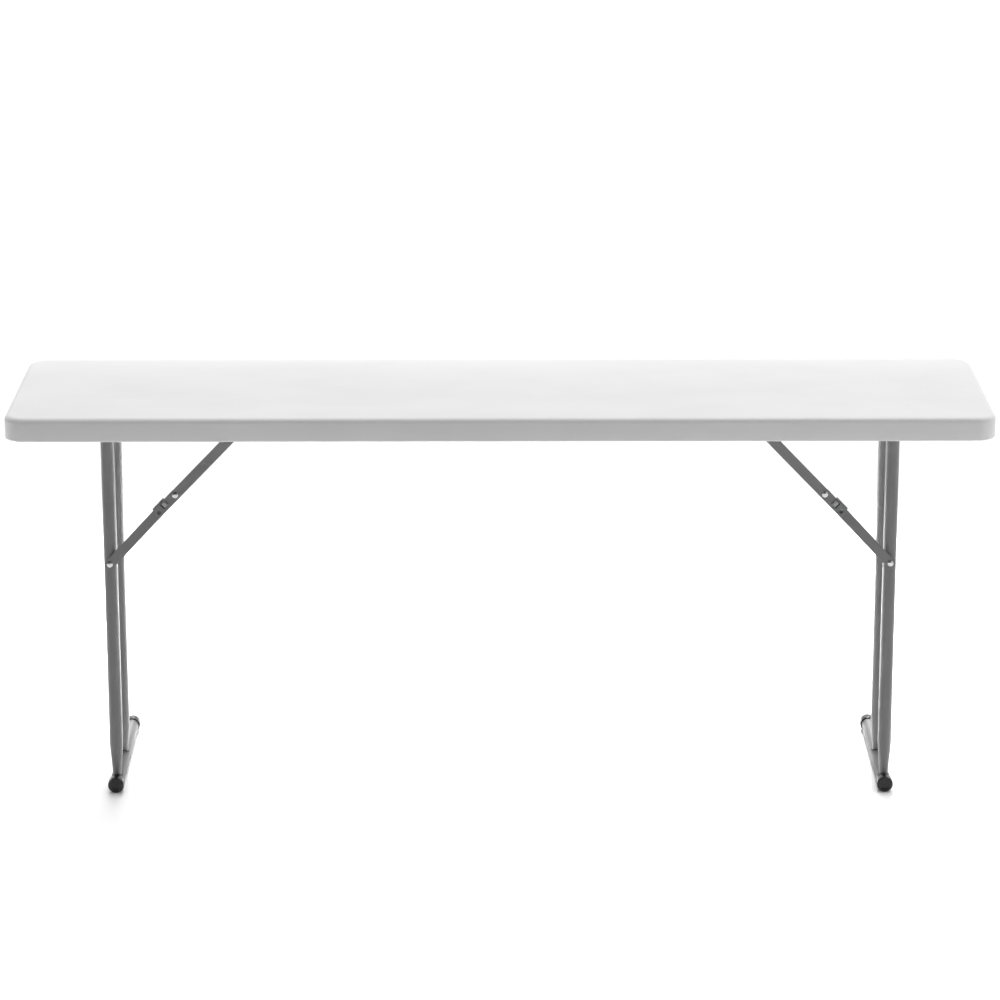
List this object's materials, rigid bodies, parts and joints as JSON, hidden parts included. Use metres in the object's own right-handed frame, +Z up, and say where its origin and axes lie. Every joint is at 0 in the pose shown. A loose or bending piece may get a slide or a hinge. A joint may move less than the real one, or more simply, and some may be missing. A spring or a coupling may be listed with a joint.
{
  "type": "folding table",
  "caption": "Long narrow folding table with a moulded plastic top and offset tubular steel legs that swing up and stow under it.",
  "frame": {"origin": "on the floor, under the middle of the top, with the legs down", "axes": "+X along the table's length, +Y across it towards the side without braces, +Z up"},
  "size_m": [1.8288, 0.4572, 0.7366],
  "materials": {
    "top": "blow-moulded white polyethylene, fine pebble grain, satin",
    "frame": "mid-grey powder coat, semi-gloss, fine orange peel",
    "zinc": "bright zinc plate",
    "cap": "injection-moulded black polypropylene, glossy",
    "bush": "black acetal"
  },
  "bodies": {
    "root": {"tabletop": "top", "side_rail_left": "frame", "rear_bracket_left": "frame", "pivot_bush_front_left": "bush", "pivot_bush_rear_left": "bush", "rail_screw_1_left": "zinc", "rail_screw_2_left": "zinc", "rail_screw_3_left": "zinc", "bracket_screw_1_left": "zinc", "bracket_screw_2_left": "zinc", "brace_anchor_rivet_left": "zinc", "side_rail_right": "frame", "rear_bracket_right": "frame", "pivot_bush_front_right": "bush", "pivot_bush_rear_right": "bush", "rail_screw_1_right": "zinc", "rail_screw_2_right": "zinc", "rail_screw_3_right": "zinc", "bracket_screw_1_right": "zinc", "bracket_screw_2_right": "zinc", "brace_anchor_rivet_right": "zinc"},
    "leg_left": {"pivot_tube_left": "frame", "front_leg_tube_left": "frame", "rear_leg_tube_left": "frame", "foot_tube_left": "frame", "foot_cap_front_left": "cap", "foot_cap_rear_left": "cap", "brace_low_rivet_left": "zinc"},
    "upper_link_left": {"upper_link_left": "frame", "joint_rivet_front_left": "zinc"},
    "lock_left": {"lock_spring_left": "zinc"},
    "lower_link_left": {"lower_link_left": "frame", "joint_rivet_back_left": "zinc"},
    "leg_right": {"pivot_tube_right": "frame", "front_leg_tube_right": "frame", "rear_leg_tube_right": "frame", "foot_tube_right": "frame", "foot_cap_front_right": "cap", "foot_cap_rear_right": "cap", "brace_low_rivet_right": "zinc"},
    "upper_link_right": {"upper_link_right": "frame", "joint_rivet_front_right": "zinc"},
    "lock_right": {"lock_spring_right": "zinc"},
    "lower_link_right": {"lower_link_right": "frame", "joint_rivet_back_right": "zinc"}
  },
  "joints": [
    {"name": "leg_fold_left", "type": "hinge", "parent": "root", "child": "leg_left", "pos_m": [-0.7275, 0, 0.706], "axis": [0, -1, 0], "range_deg": [0, 90]},
    {"name": "upper_link_turn_left", "type": "hinge", "parent": "root", "child": "upper_link_left", "pos_m": [-0.485, -0.2015, 0.706], "axis": [0, -1, 0], "range_deg": [-47, 1]},
    {"name": "lower_link_turn_left", "type": "hinge", "parent": "leg_left", "child": "lower_link_left", "pos_m": [-0.7275, -0.1985, 0.4485], "axis": [0, -1, 0], "range_deg": [-1, 43.5]},
    {"name": "lock_press_left", "type": "hinge", "parent": "upper_link_left", "child": "lock_left", "pos_m": [-0.60984, -0.2012, 0.57583], "axis": [0.7217, 0, -0.6922], "range_deg": [0, 4], "stiffness_Nm_per_rad": 0.4},
    {"name": "leg_fold_right", "type": "hinge", "parent": "root", "child": "leg_right", "pos_m": [0.7275, 0, 0.706], "axis": [0, 1, 0], "range_deg": [0, 90]},
    {"name": "upper_link_turn_right", "type": "hinge", "parent": "root", "child": "upper_link_right", "pos_m": [0.485, -0.2015, 0.706], "axis": [0, 1, 0], "range_deg": [-47, 1]},
    {"name": "lower_link_turn_right", "type": "hinge", "parent": "leg_right", "child": "lower_link_right", "pos_m": [0.7275, -0.1985, 0.4485], "axis": [0, 1, 0], "range_deg": [-1, 43.5]},
    {"name": "lock_press_right", "type": "hinge", "parent": "upper_link_right", "child": "lock_right", "pos_m": [0.60984, -0.2012, 0.57583], "axis": [0.7217, 0, 0.6922], "range_deg": [0, 4], "stiffness_Nm_per_rad": 0.4}
  ],
  "couplings": [
    {"joint": "upper_link_turn_left", "follows": "leg_fold_left", "ratio": -0.5133},
    {"joint": "lower_link_turn_left", "follows": "leg_fold_left", "ratio": 0.47559},
    {"joint": "upper_link_turn_right", "follows": "leg_fold_right", "ratio": -0.5133},
    {"joint": "lower_link_turn_right", "follows": "leg_fold_right", "ratio": 0.47559}
  ]
}
